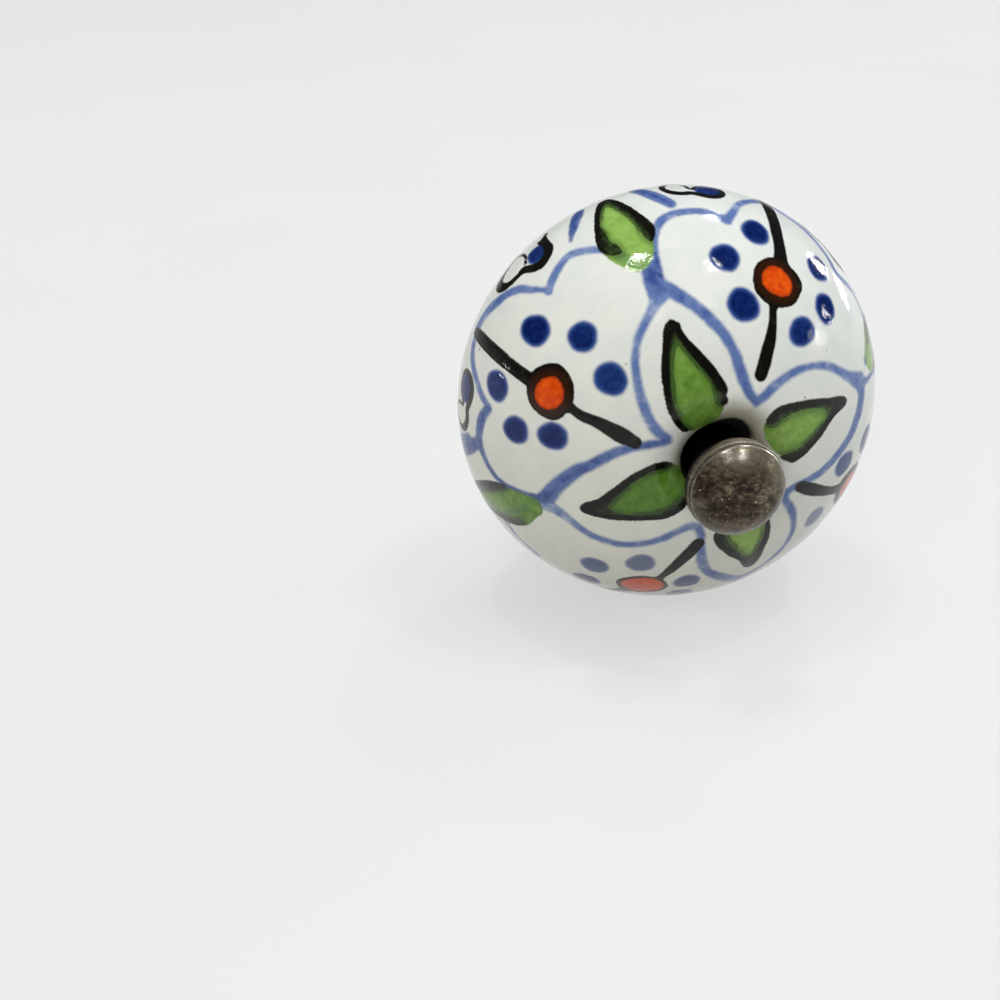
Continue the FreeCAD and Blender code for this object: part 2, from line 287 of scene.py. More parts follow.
# inner leaves, each with its dark outline, which is open in places
LEAF_FILL = [
    [(-4.1, 12.6), (-3.2, 11.4), (-2.0, 9.6), (-.7, 8.0), (.0, 6.9), (-.1, 5.7), (-.4, 4.7), (-.6, 3.7),
     (-1.3, 3.1), (-2.8, 3.2), (-3.8, 3.9), (-4.5, 5.2), (-4.85, 7.0), (-4.9, 9.0), (-4.8, 11.0)],
    [(12.8, 4.0), (11.0, 4.4), (9.2, 4.75), (7.2, 4.85), (5.4, 4.7), (4.2, 4.0), (3.6, 3.4), (3.7, 2.4),
     (4.2, 1.4), (5.1, .5), (6.4, .0), (7.8, .3), (9.2, 1.2), (10.6, 2.5), (11.9, 3.3)],
    [(4.9, -12.6), (5.3, -11.2), (5.35, -9.5), (5.4, -7.8), (5.1, -6.0), (4.3, -4.3), (3.0, -3.2),
     (1.5, -3.3), (.5, -4.6), (.3, -6.2), (.5, -7.6), (1.4, -8.9), (2.6, -10.2), (3.9, -11.5)],
    [(-11.8, -4.5), (-10.2, -3.4), (-8.8, -1.9), (-7.3, -.5), (-5.9, .3), (-4.5, .35), (-3.4, -.2),
     (-2.5, -1.0), (-2.4, -2.4), (-3.0, -3.5), (-4.6, -4.5), (-6.4, -4.8), (-8.6, -4.95), (-10.4, -4.95)],
]
LEAF_INK = [
    [(-4.35, 13.3), (-4.95, 12.6), (-5.15, 11.4), (-5.35, 9.8), (-5.4, 8.4), (-5.2, 6.9), (-4.85, 5.4),
     (-4.35, 4.2), (-3.75, 3.45), (-3.1, 3.3), (-3.6, 4.1), (-4.15, 5.4), (-4.5, 6.9), (-4.62, 8.6),
     (-4.55, 10.0), (-4.25, 11.1), (-3.75, 11.5), (-3.2, 10.7), (-2.4, 9.7), (-1.6, 8.7), (-1.0, 7.8),
     (-.75, 6.9), (-.6, 6.1), (-.15, 5.6), (.3, 6.1), (.15, 6.6), (.35, 7.2), (-.1, 8.1), (-.9, 9.3),
     (-1.9, 10.5), (-2.8, 11.5), (-3.35, 12.3), (-3.6, 13.0)],
    [(13.45, 3.9), (13.2, 4.3), (12.3, 4.66), (11.0, 4.8), (9.4, 5.05), (8.0, 5.2), (6.2, 5.2), (4.9, 5.0),
     (4.1, 4.45), (3.75, 3.85), (4.1, 3.4), (4.8, 3.6), (5.6, 3.95), (6.6, 4.25), (8.0, 4.35), (9.4, 4.2),
     (10.4, 3.75), (10.5, 3.1), (9.7, 2.3), (8.5, 1.45), (7.2, .85), (6.0, .5), (5.2, .3), (5.9, -.15),
     (6.8, -.42), (8.0, .0), (9.1, .75), (10.1, 1.5), (10.95, 2.4), (11.9, 3.05), (13.0, 3.4)],
    [(4.9, -13.1), (4.3, -12.7), (3.8, -12.0), (3.2, -11.1), (2.1, -10.2), (1.1, -9.15), (.3, -8.1),
     (-.1, -7.0), (.3, -6.3), (.9, -6.9), (1.4, -7.8), (2.3, -9.0), (3.05, -9.85), (3.75, -10.5),
     (4.5, -10.5), (4.9, -9.2), (5.0, -7.9), (4.9, -6.6), (4.7, -5.6), (5.2, -5.9), (5.6, -7.2), (5.8, -8.6),
     (5.72, -10.0), (5.7, -11.6), (5.45, -12.7)],
    [(-12.3, -4.55), (-11.9, -3.8), (-10.8, -3.2), (-9.9, -2.3), (-9.0, -1.4), (-7.9, -.35), (-7.0, .25),
     (-6.1, .72), (-5.1, .78), (-4.3, .35), (-5.0, .1), (-6.1, .0), (-7.1, -.62), (-7.9, -1.3), (-8.8, -2.4),
     (-9.7, -3.7), (-9.3, -4.2), (-7.9, -4.5), (-6.3, -4.3), (-4.9, -3.9), (-3.7, -3.2), (-3.0, -2.9),
     (-2.8, -3.5), (-3.4, -4.15), (-4.4, -4.7), (-5.6, -4.95), (-7.2, -5.12), (-9.0, -5.3), (-10.8, -5.2),
     (-11.9, -5.0)],
]
GREEN += LEAF_FILL
LEAF_TONE = [.35, .5, .75, .1, .85, .25, .5, .6]   # from dark to pale, in the order of GREEN
INK_PATCH += LEAF_INK

# outer leaves, over the joins of the lobes
OUTER_FILL = [(-9.4, 28.1), (-8.2, 27.0), (-7.0, 25.6), (-5.9, 24.0), (-5.1, 22.6), (-4.9, 21.2),
              (-5.0, 19.9), (-5.5, 18.7), (-6.4, 17.9), (-7.3, 17.9), (-8.4, 18.5), (-9.6, 19.4),
              (-10.4, 20.6), (-10.6, 22.4), (-10.6, 24.4), (-10.3, 26.4)]
OUTER_INK = [(-9.4, 28.75), (-10.4, 27.9), (-10.8, 26.2), (-10.95, 24.6), (-10.98, 23.0), (-10.86, 21.5),
             (-10.5, 20.4), (-9.6, 19.8), (-8.5, 19.75), (-8.15, 20.1), (-8.6, 20.9), (-9.3, 21.4),
             (-9.6, 22.3), (-10.2, 23.4), (-10.2, 25.1), (-9.8, 26.6), (-9.35, 27.2), (-8.5, 26.4),
             (-7.5, 25.2), (-6.6, 23.9), (-6.1, 22.7), (-5.7, 21.5), (-5.1, 20.9), (-4.6, 21.6),
             (-4.45, 22.8), (-5.05, 23.9), (-6.0, 25.2), (-6.95, 26.5), (-7.9, 27.6), (-8.7, 28.4)]
LEFT_FILL = [(-16.4, -5.0), (-18.3, -4.95), (-20.4, -5.3), (-22.3, -6.6), (-24.0, -8.2), (-25.8, -10.0),
             (-27.5, -12.2), (-25.2, -12.4), (-23.0, -12.2), (-20.9, -11.2), (-18.9, -10.6), (-17.6, -9.4),
             (-16.7, -7.8), (-15.9, -6.4)]
LEFT_INK = [
    [(-20.4, -5.25, .6), (-21.4, -5.85, 1.0), (-22.7, -6.8, 1.3), (-24.3, -8.3, 1.35), (-25.9, -10.1, 1.3),
     (-27.3, -12.0, 1.0)],
    [(-18.4, -9.4, .7), (-19.3, -10.4, 1.0), (-21.2, -11.5, 1.1), (-23.4, -12.5, 1.1), (-25.6, -12.9, 1.1),
     (-27.4, -12.6, .9)],
]
for quarter in range(4):
    if quarter == 1:
        GREEN.append(LEFT_FILL)
        INK += LEFT_INK
    else:
        fill, ink = turned_pts(OUTER_FILL, quarter), turned_pts(OUTER_INK, quarter)
        if quarter:
            shift = rng.normal(0, .2, 2)
            fill, ink = moved(fill, shift), moved(ink, shift)
        GREEN.append(fill)
        INK_PATCH.append(ink)

# paired buds outside the corners of each lobe: one filled with blue, one left white
BUD_1_FILL = [(-19.5, 21.0), (-19.0, 21.9), (-18.0, 22.4), (-16.9, 22.0), (-16.4, 21.0), (-16.9, 20.0),
              (-18.1, 19.6), (-19.1, 20.0)]
BUD_1_INK = [(-17.75, 24.7), (-17.35, 24.6), (-17.2, 23.6), (-16.6, 22.7), (-15.95, 21.9), (-15.9, 20.9),
             (-16.35, 19.8), (-17.1, 18.95), (-18.3, 18.55), (-19.5, 18.5), (-20.3, 17.9), (-21.2, 17.1),
             (-22.1, 16.5), (-23.0, 16.25), (-23.9, 16.6), (-24.3, 17.5), (-24.1, 18.6), (-23.5, 19.8),
             (-22.95, 20.3), (-22.8, 19.8), (-23.1, 18.8), (-23.0, 17.9), (-22.3, 17.55), (-21.4, 17.9),
             (-20.5, 18.7), (-19.9, 19.4), (-19.1, 19.6), (-18.2, 19.7), (-17.4, 20.2), (-17.1, 21.1),
             (-17.5, 21.9), (-18.2, 22.4), (-18.6, 22.9), (-18.0, 23.6)]
BUD_2_FILL = [(2.0, 28.1), (2.9, 28.9), (4.2, 29.1), (5.5, 28.6), (5.7, 27.5), (4.8, 26.7), (3.4, 26.6),
              (2.3, 27.2)]
BUD_2_INK = [
    [(-.3, 30.9, .7), (-1.2, 30.3, .75), (-1.8, 29.4, .85), (-1.75, 28.5, .95), (-1.0, 27.8, .9),
     (.2, 27.45, .8), (1.3, 27.5, .8), (2.2, 27.1, .8), (3.3, 26.65, .75), (4.5, 26.65, .75),
     (5.5, 27.2, .75), (5.85, 28.1, .7), (5.3, 28.9, .6), (4.2, 29.3, .55), (2.9, 29.1, .55),
     (1.9, 28.4, .6)],
]
BUD_1_LOOP = [(-23.1, 20.2, .55), (-22.2, 21.4, .5), (-20.9, 21.6, .5), (-19.9, 20.9, .5), (-19.6, 19.9, .55)]
BUD_2_LOOP = [(-.4, 30.9, .6), (.6, 30.6, .5), (1.3, 29.7, .5), (1.4, 28.6, .55)]
LEFT_BUD_SHIFT = (1.1, .3)   # the second bud of the left side stands this far from a plain repeat
for quarter in range(4):
    shift = rng.normal(0, .25, 2) if quarter else np.zeros(2)
    NAVY.append(moved(turned_pts(BUD_1_FILL, quarter), shift))
    INK_PATCH.append(moved(turned_pts(BUD_1_INK, quarter), shift))
    INK.append(moved(turned_pts(BUD_1_LOOP, quarter), shift))
    if quarter == 1:
        shift = LEFT_BUD_SHIFT
    NAVY.append(moved(turned_pts(BUD_2_FILL, quarter), shift))
    for stroke in BUD_2_INK + [BUD_2_LOOP]:
        INK.append(moved(turned_pts(stroke, quarter), shift))


def flow(points, closed=False, gap=.14):
    """Points at small gaps on the smooth line through the given ones."""
    p = np.array(points, float)
    if closed:
        p = np.vstack([p[-1:], p, p[:2]])
    else:
        p = np.vstack([2 * p[0] - p[1], p, 2 * p[-1] - p[-2]])
        p[0, 2:], p[-1, 2:] = p[1, 2:], p[-2, 2:]
    out = []
    for a, b, c, d in zip(p, p[1:], p[2:], p[3:]):
        n = max(2, int(np.hypot(*(c - b)[:2]) / gap))
        t = (np.arange(n) / n)[:, None]
        curve = 2 * a - 5 * b + 4 * c - d
        twist = 3 * b - a - 3 * c + d
        out.append(.5 * (2 * b + (c - a) * t + curve * t ** 2 + twist * t ** 3))
    if not closed:
        out.append(p[-2:-1])
    return np.vstack(out)


FAR = -2.5               # depth of all points further out than this
STROKE_MARGIN = 3.2      # round the points of a stroke, which is at its widest 1.9 mm wide
PATCH_MARGIN = 2.8
CHUNK = 4000             # points at a time, to spare memory


def nearby(q, edge, margin):
    """Chunks of the numbers of the map points that lie in the box of an outline."""
    low, high = edge[:, :2].min(0) - margin, edge[:, :2].max(0) + margin
    near = np.nonzero(((q > low) & (q < high)).all(1))[0]
    return [near[start:start + CHUNK] for start in range(0, len(near), CHUNK)]


def stroke_depth(q, line):
    """How deep each map point lies inside a stroke; negative outside it."""
    depth = np.full(len(q), FAR)
    for part in nearby(q, line, STROKE_MARGIN):
        away = np.hypot(q[part, 0, None] - line[:, 0], q[part, 1, None] - line[:, 1])
        depth[part] = np.maximum((line[:, 2] / 2 - away).max(1), FAR)
    return depth


def patch_depth(q, edge):
    """How deep each map point lies inside a closed outline; negative outside it."""
    depth = np.full(len(q), FAR)
    x0, y0 = edge.T
    x1, y1 = np.roll(edge, -1, 0).T
    for part in nearby(q, edge, PATCH_MARGIN):
        x, y = q[part, 0, None], q[part, 1, None]
        away = np.hypot(x - x0, y - y0).min(1)
        cross = ((y0 > y) != (y1 > y)) & (x < (x1 - x0) * (y - y0) / (y1 - y0 + 1e-12) + x0)
        inside = cross.sum(1) % 2 == 1
        depth[part] = np.maximum(np.where(inside, away, -away), FAR)
    return depth


def blended(depths, soft):
    """Union of several depths, with the corners between them filled a little."""
    top = depths.max(0)
    return top + soft * np.log(np.exp((depths - top) / soft).sum(0))


def dot_depth(q, x, y, rx, ry, turn):
    """How deep each map point lies inside a dot, which is a slightly lumpy ellipse."""
    c, s = math.cos(turn), math.sin(turn)
    u = (q[:, 0] - x) * c + (q[:, 1] - y) * s
    v = (q[:, 1] - y) * c - (q[:, 0] - x) * s
    angle = np.arctan2(v, u)
    lump = 1 + .03 * np.sin(2 * angle + x) + .025 * np.sin(3 * angle + 2 * y)
    lump += .012 * np.sin(5 * angle + x * y)
    return np.maximum((lump - np.hypot(u / rx, v / ry)) * (rx + ry) / 2, FAR)


def paint_depths(q):
    """The depth of every map point in each colour of the painting, and the ink there."""
    def strokes(several):
        return [stroke_depth(q, flow(stroke)) for stroke in several]

    def patches(several):
        return [patch_depth(q, flow(edge, closed=True)) for edge in several]

    lines = np.stack(strokes(stroke for stroke, _ in BLUE))
    dots = np.stack([dot_depth(q, *shape) for *shape, _ in DOTS] + patches(NAVY))
    leaves = np.stack(patches(GREEN))
    line_inks = np.array([ink for _, ink in BLUE])
    dot_inks = np.array([ink for *_, ink in DOTS] + [NAVY_INK] * len(NAVY))
    return {
        "wash": np.maximum(blended(lines, soft=.07), FAR),
        "wash_ink": line_inks[lines.argmax(0)],
        "dot": dots.max(0),
        "dot_ink": dot_inks[dots.argmax(0)],
        "liner": np.max(strokes(INK) + patches(INK_PATCH), axis=0),
        "orange": np.max(patches(ORANGE), axis=0),
        "leaf": leaves.max(0),
        "leaf_tone": np.array(LEAF_TONE)[leaves.argmax(0)],
    }


# Meshes
def new_piece(name, points, faces, material):
    mesh = bpy.data.meshes.new(name)
    mesh.from_pydata([tuple(p) for p in points], [], faces)
    mesh.validate()
    piece = bpy.data.objects.new(name, mesh)
    bpy.context.scene.collection.objects.link(piece)
    mesh.materials.append(material)
    mesh.polygons.foreach_set("use_smooth", [True] * len(mesh.polygons))
    return piece


def ring_points(radius, height, turn):
    """Points round the bolt's axis, in mm."""
    return np.stack([radius * np.cos(turn), np.full(len(turn), -height), radius * np.sin(turn)], -1)


def turned_mesh(rings):
    """Quads and pentagons of a turned surface. A ring is (radius, height, count of points), in mm.

    Counts double or halve between zones. Returns the points in mm, their angles and the faces.
    """
    starts, points, angles = [], [], []
    for radius, height, count in rings:
        starts.append(len(angles))
        turn = np.arange(count) * 2 * math.pi / count
        points.append(ring_points(radius, height, turn))
        angles.extend(turn)
    faces = []
    for k in range(len(rings) - 1):
        a, b = starts[k], starts[k + 1]
        m, n = rings[k][2], rings[k + 1][2]
        if m == n:
            for i in range(m):
                j = (i + 1) % m
                faces.append((a + i, a + j, b + j, b + i))
        elif n == 2 * m:
            for i in range(m):
                j = (i + 1) % m
                faces.append((a + i, a + j, b + (2 * i + 2) % n, b + 2 * i + 1, b + 2 * i))
        else:
            for i in range(n):
                j = (i + 1) % n
                faces.append((a + 2 * i, a + 2 * i + 1, a + (2 * i + 2) % m, b + j, b + i))
    return np.vstack(points), np.array(angles), faces


def attribute(mesh, name, values):
    layer = mesh.attributes.new(name, "FLOAT", "POINT")
    layer.data.foreach_set("value", np.asarray(values, np.float32))


# Material helpers
def srgb(r, g, b):
    def one(v):
        v /= 255
        return v / 12.92 if v <= .04045 else ((v + .055) / 1.055) ** 2.4
    return one(r), one(g), one(b), 1.0


class Nodes:
    """Short forms for building one node material."""

    def __init__(self, name):
        self.material = bpy.data.materials.new(name)
        self.material.use_nodes = True
        self.tree = self.material.node_tree
        self.tree.nodes.clear()
        self.shader = self.add("ShaderNodeBsdfPrincipled")
        output = self.add("ShaderNodeOutputMaterial")
        self.join(self.shader.outputs[0], output.inputs[0])

    def add(self, kind, **settings):
        node = self.tree.nodes.new(kind)
        for key, value in settings.items():
            setattr(node, key, value)
        return node

    def join(self, source, target):
        self.tree.links.new(source, target)

    def drive(self, name, source):
        """Joins a value that varies over the surface to the shader."""
        self.join(source, self.shader.inputs[name])

    def fix(self, name, value):
        """Sets a value that is the same all over on the shader's own socket."""
        self.shader.inputs[name].default_value = value

    def put(self, socket, value):
        if isinstance(value, bpy.types.NodeSocket):
            self.join(value, socket)
        else:
            socket.default_value = value

    def math(self, operation, a, b, clamp=False):
        node = self.add("ShaderNodeMath", operation=operation, use_clamp=clamp)
        self.put(node.inputs[0], a)
        self.put(node.inputs[1], b)
        return node.outputs[0]

    def plus(self, total, *others):
        for other in others:
            total = self.math("ADD", total, other)
        return total

    def minus(self, a, b):
        return self.math("SUBTRACT", a, b)

    def times(self, a, b):
        return self.math("MULTIPLY", a, b)

    def ramp(self, value, low, high, to_low=0.0, to_high=1.0):
        """Smooth step from to_low to to_high."""
        node = self.add("ShaderNodeMapRange", interpolation_type="SMOOTHSTEP")
        self.put(node.inputs[0], value)
        for socket, number in zip(node.inputs[1:5], (low, high, to_low, to_high)):
            self.put(socket, number)
        return node.outputs[0]

    def mix(self, factor, a, b):
        node = self.add("ShaderNodeMix", data_type="RGBA")
        self.put(node.inputs[0], factor)
        self.put(node.inputs[6], a)
        self.put(node.inputs[7], b)
        return node.outputs[2]

    def place(self):
        return self.add("ShaderNodeTexCoord").outputs["Object"]

    def scaled(self, where, scale, location=(0, 0, 0)):
        mapping = self.add("ShaderNodeMapping")
        self.join(where, mapping.inputs[0])
        mapping.inputs["Location"].default_value = location
        mapping.inputs["Scale"].default_value = scale
        return mapping.outputs[0]

    def noise(self, where, per_mm, detail=2.0, rough=.5, warp=0.0, seed=(0, 0, 0), stretch=(1, 1, 1)):
        """Noise with this many cells to the millimetre."""
        node = self.add("ShaderNodeTexNoise")
        self.join(self.scaled(where, [per_mm / MM * k for k in stretch], seed), node.inputs["Vector"])
        node.inputs["Scale"].default_value = 1.0
        node.inputs["Detail"].default_value = detail
        node.inputs["Roughness"].default_value = rough
        node.inputs["Distortion"].default_value = warp
        return node.outputs[0]

    def value(self, name):
        return self.add("ShaderNodeAttribute", attribute_name=name).outputs["Fac"]

    def bump(self, height, depth_mm, after=None):
        node = self.add("ShaderNodeBump")
        node.inputs["Strength"].default_value = 1.0
        node.inputs["Distance"].default_value = depth_mm * MM
        self.join(height, node.inputs["Height"])
        if after is not None:
            self.join(after, node.inputs["Normal"])
        return node.outputs[0]


SPECK_CELL = .38         # iron specks in the glaze: cells to the millimetre
SPECK_SHARE = .80        # cells below this have none
SPECK_R = .062           # the largest, in cells


def iron_specks(n, where):
    """How much of a speck is here, and how dark that speck is."""
    cells = n.add("ShaderNodeTexVoronoi")
    n.join(n.scaled(where, [SPECK_CELL / MM] * 3), cells.inputs["Vector"])
    cells.inputs["Scale"].default_value = 1.0
    pick = n.add("ShaderNodeSeparateColor")
    n.join(cells.outputs["Color"], pick.inputs[0])
    size = n.ramp(pick.outputs[0], SPECK_SHARE, 1.0, 0.0, SPECK_R)
    speck = n.ramp(n.minus(cells.outputs["Distance"], size), .018, -.008)
    return speck, n.ramp(pick.outputs[1], .2, .9, .25, .85)


def painted_glaze():
    """White glaze with the ornament under it, a dry clay foot, painted shade on the lip and a hole painted
    black with shade.
    """
    n = Nodes("painted_glaze")
    where = n.place()
    fine = n.noise(where, 5.0, 3, .6)
    mid = n.noise(where, 1.5, 3, .5, seed=(4, 1, 2))
    broad = n.noise(where, .32, 2, .5, seed=(9, 3, 5))
    small = n.minus(fine, .5)
    medium = n.minus(mid, .5)
    edge = n.plus(n.times(small, .05), n.times(medium, .22))

    # white glaze: a little warm and cool in turn, faint grey clouds, and painted grey-beige shade on the lip
    # towards the hole
    white = n.mix(n.ramp(broad, .35, .68), srgb(233, 236, 230), srgb(227, 231, 227))
    cloud = n.ramp(n.noise(where, .9, 4, .6, seed=(2, 8, 1)), .55, .8, 0, .5)
    white = n.mix(cloud, white, srgb(221, 221, 210))
    lip = n.plus(n.value("lip"), n.times(medium, .8))
    colour = n.mix(n.ramp(lip, -2.8, .2, 0, .9), white, srgb(146, 140, 116))

    # blue wash lines: soft and pale, with ink gathered in places
    wash = n.value("wash")
    w = n.plus(wash, edge)
    cover = n.ramp(w, -.27, .2)
    pool = n.plus(n.times(n.noise(where, .6, 3, .55, seed=(3, 3, 9)), 1.3),
                  n.times(n.noise(where, 2.2, 2, .5, seed=(6, 2, 7)), .35))
    load = n.plus(n.minus(pool, .83), n.value("wash_ink"))
    load = n.plus(load, n.ramp(w, .25, .85, 0, .25))
    blue = n.mix(n.ramp(load, .05, .6), srgb(146, 164, 202), srgb(88, 115, 175))
    blue = n.mix(n.ramp(load, .55, 1.05), blue, srgb(34, 66, 142))
    colour = n.mix(n.times(cover, n.ramp(load, -.1, .5, .72, .96)), colour, blue)

    # dots: cobalt, denser inside, with a narrow paler edge, thin where they have little ink
    dot = n.plus(n.value("dot"), n.times(edge, .6))
    dot_ink = n.value("dot_ink")
    dense = n.plus(n.times(medium, .9), n.times(small, .4), dot_ink)
    cobalt = n.mix(n.ramp(dense, .35, 1.05), srgb(32, 62, 124), srgb(6, 28, 90))
    cobalt = n.mix(n.ramp(dot, -.05, .5), srgb(58, 86, 152), cobalt)
    thick = n.times(n.ramp(dot, -.3, .15), n.ramp(dot_ink, 0, .55, .72, 1))
    colour = n.mix(thick, colour, cobalt)

    # green leaves: even inside, bluish over the wash, with a clear dark band along the liner
    leaf = n.plus(n.value("leaf"), n.times(edge, .6))
    liner_depth = n.value("liner")
    tone = n.plus(n.value("leaf_tone"), n.times(medium, .8), n.times(n.minus(broad, .5), .6))
    green = n.mix(n.ramp(tone, -.15, 1.1), srgb(78, 122, 34), srgb(156, 196, 98))
    blotch = n.ramp(n.noise(where, 1.1, 4, .6, seed=(1, 6, 2)), .45, .75, 0, .3)
    green = n.mix(blotch, green, srgb(70, 112, 36))
    green = n.mix(n.times(cover, .45), green, srgb(66, 112, 84))
    bleed = n.plus(liner_depth, n.times(medium, .6))
    green = n.mix(n.ramp(bleed, -.95, -.1, 0, .4), green, srgb(62, 96, 36))
    band = n.times(n.ramp(bleed, -.42, -.26, 0, .74), n.ramp(broad, .42, .54, .25, 1))
    green = n.mix(band, green, srgb(46, 66, 34))
    colour = n.mix(n.ramp(leaf, -.12, .12), colour, green)

    # black-brown liner: brown and clearer round the orange, with thin patches
    liner = n.plus(liner_depth, n.times(edge, .5))
    orange = n.value("orange")
    thin = n.noise(where, 1.0, 4, .6, seed=(7, 7, 3), stretch=(1, 1, .6))
    black = n.mix(n.ramp(thin, .52, .8, 0, .6), srgb(16, 16, 13), srgb(58, 60, 44))
    over_green = n.times(n.ramp(leaf, .1, .6, 0, .85), n.ramp(liner, .8, .15, .4, 1))
    black = n.mix(over_green, black, n.mix(n.ramp(mid, .4, .62), srgb(36, 46, 24), srgb(62, 84, 44)))
    black = n.mix(n.ramp(orange, -1.15, -.35, 0, .9), black, srgb(50, 25, 9))
    colour = n.mix(n.ramp(liner, -.1, .1), colour, black)

    # orange spots
    spot = n.plus(orange, n.times(edge, .7))
    amber = n.mix(n.ramp(mid, .3, .75), srgb(212, 66, 4), srgb(238, 94, 10))
    amber = n.mix(n.ramp(spot, .4, -.05, 0, .8), amber, srgb(176, 56, 8))
    colour = n.mix(n.ramp(spot, -.14, .1), colour, amber)

    speck, darkness = iron_specks(n, where)
    colour = n.mix(n.times(speck, darkness), colour, srgb(74, 62, 44))

    # the hole: painted black shade from the turn of the lip, and inside, where it is also bare and stained
    hole = n.plus(n.value("hole"), n.times(medium, .2))
    colour = n.mix(n.ramp(hole, -.15, .25), colour, srgb(8, 7, 6))

    # dry foot
    foot = n.plus(n.value("foot"), n.times(n.plus(medium, small), .35))
    grit = n.noise(where, 7.0, 4, .75, seed=(5, 5, 5))
    clay = n.mix(n.ramp(grit, .35, .7), srgb(200, 180, 154), srgb(226, 211, 188))
    clay = n.mix(n.ramp(broad, .4, .7, 0, .5), clay, srgb(184, 158, 130))
    dry = n.ramp(foot, -.1, .1)
    n.drive("Base Color", n.mix(dry, colour, clay))

    # gloss: a little duller on the liner, dull at the lip and in the hole, dry on the foot
    rough = n.plus(n.ramp(fine, .3, .8, .05, .1), n.ramp(liner, -.1, .2, 0, .04), n.times(dry, .75))
    rough = n.plus(rough, n.ramp(hole, -.1, .3, 0, .6), n.ramp(lip, -3.4, -.6, 0, .34))
    n.drive("Roughness", rough)
    n.fix("IOR", 1.46)
    n.fix("Specular IOR Level", .3)

    # relief: the paint stands up a little, the glaze has orange peel, the foot is gritty
    relief = n.plus(n.ramp(wash, -.2, .3, 0, .25), n.ramp(n.value("dot"), -.2, .3, 0, .6))
    relief = n.plus(relief, n.ramp(liner_depth, -.15, .3, 0, 1.0), n.ramp(leaf, -.2, .3, 0, .5))
    relief = n.plus(relief, n.ramp(orange, -.1, .25, 0, .5))
    peel = n.plus(n.noise(where, .85, 2, .5, seed=(8, 2, 2)),
                  n.times(n.noise(where, 3.4, 2, .6, seed=(2, 9, 4)), .16))
    pits = n.minus(n.times(grit, dry), n.times(speck, .5))
    n.drive("Normal", n.bump(pits, .07, n.bump(peel, .035, n.bump(relief, .024))))
    return n.material


def aged_metal():
    """Dark mottled metal with patina: painted light on top of the ball, worn seam edges and painted glints,
    painted shade near black in the hole.
    """
    n = Nodes("aged_metal")
    where = n.place()
    broad = n.noise(where, .45, 3, .6, .4, seed=(1, 2, 3))
    mottle = n.noise(where, 1.7, 5, .7, .8, seed=(4, 4, 4))
    streak = n.noise(where, 2.6, 4, .7, .4, seed=(2, 6, 1), stretch=(.45, 1, 1.3))
    fine = n.noise(where, 8.0, 3, .7, seed=(9, 1, 1))
    patina_and_dark_reflection = n.value("patina_and_dark_reflection")
    painted_top_light = n.value("painted_top_light")
    deep = n.value("deep")
    wear_and_glint = n.times(n.value("wear_and_glint"), n.ramp(streak, .3, .5, .35, 1))
    tone = n.plus(n.times(broad, .35), n.times(mottle, .45), n.times(streak, .5))
    tone = n.minus(tone, n.times(patina_and_dark_reflection, .16))
    colour = n.mix(n.ramp(tone, .5, .74), srgb(54, 43, 36), srgb(132, 120, 100))
    colour = n.mix(n.ramp(mottle, .56, .7, 0, .45), colour, srgb(160, 148, 124))
    brown = n.mix(n.ramp(mottle, .44, .6), srgb(24, 16, 11), srgb(72, 58, 42))
    # patina, which also stands in for painted dark reflection on the middle and lower left of the ball's face
    colour = n.mix(n.times(patina_and_dark_reflection, n.ramp(streak, .62, .4, .6, 1)), colour, brown)
    # painted light: lighter towards the top of the ball's face, and less metallic there below
    colour = n.mix(n.times(painted_top_light, .4), colour, srgb(146, 136, 114))
    specks = n.ramp(n.noise(where, 4.2, 2, .5, seed=(3, 1, 8)), .70, .74)
    colour = n.mix(n.times(specks, .9), colour, srgb(226, 218, 198))
    # painted reflection: grey towards the edge of the ball's face
    colour = n.mix(n.times(n.value("rim"), n.ramp(mottle, .3, .6, .95, .6)), colour, srgb(80, 80, 72))
    # worn seam edges with painted highlight, and painted glints, pale and smoother
    colour = n.mix(wear_and_glint, colour, srgb(216, 211, 198))
    # painted shade: near black in the seam's groove and on the bolt inside the hole
    n.drive("Base Color", n.mix(deep, colour, srgb(8, 7, 6)))
    metal = n.plus(n.ramp(patina_and_dark_reflection, 0, 1, .68, .25), n.times(wear_and_glint, .3))
    n.drive("Metallic", n.minus(metal, n.times(painted_top_light, .25)))
    n.fix("Specular IOR Level", .2)
    rough = n.plus(n.ramp(mottle, .35, .65, .26, .16), n.times(fine, .1))
    rough = n.minus(rough, n.times(wear_and_glint, .04))
    n.drive("Roughness", n.plus(rough, n.times(deep, .4)))
    dents = n.plus(n.times(mottle, .5), n.times(streak, .5))
    n.drive("Normal", n.bump(fine, .004, n.bump(dents, .02)))
    return n.material


def plated_steel():
    """Dull zinc plating with grey spangle, fine wear and some white bloom."""
    n = Nodes("plated_steel")
    where = n.place()
    cloud = n.noise(where, .6, 4, .6, seed=(6, 1, 6))
    grain = n.noise(where, 6.0, 3, .7, seed=(1, 7, 3), stretch=(1, .3, 1))
    bloom = n.ramp(n.noise(where, 1.7, 4, .7, seed=(3, 9, 2)), .6, .78, 0, .6)
    colour = n.mix(n.ramp(cloud, .35, .7), srgb(168, 170, 168), srgb(206, 206, 198))
    colour = n.mix(bloom, colour, srgb(226, 224, 212))
    n.drive("Base Color", n.mix(n.ramp(grain, .62, .8, 0, .5), colour, srgb(112, 106, 96)))
    n.fix("Metallic", 1.0)
    n.drive("Roughness", n.ramp(cloud, .3, .75, .34, .52))
    n.drive("Normal", n.bump(n.plus(grain, cloud), .02))
    return n.material


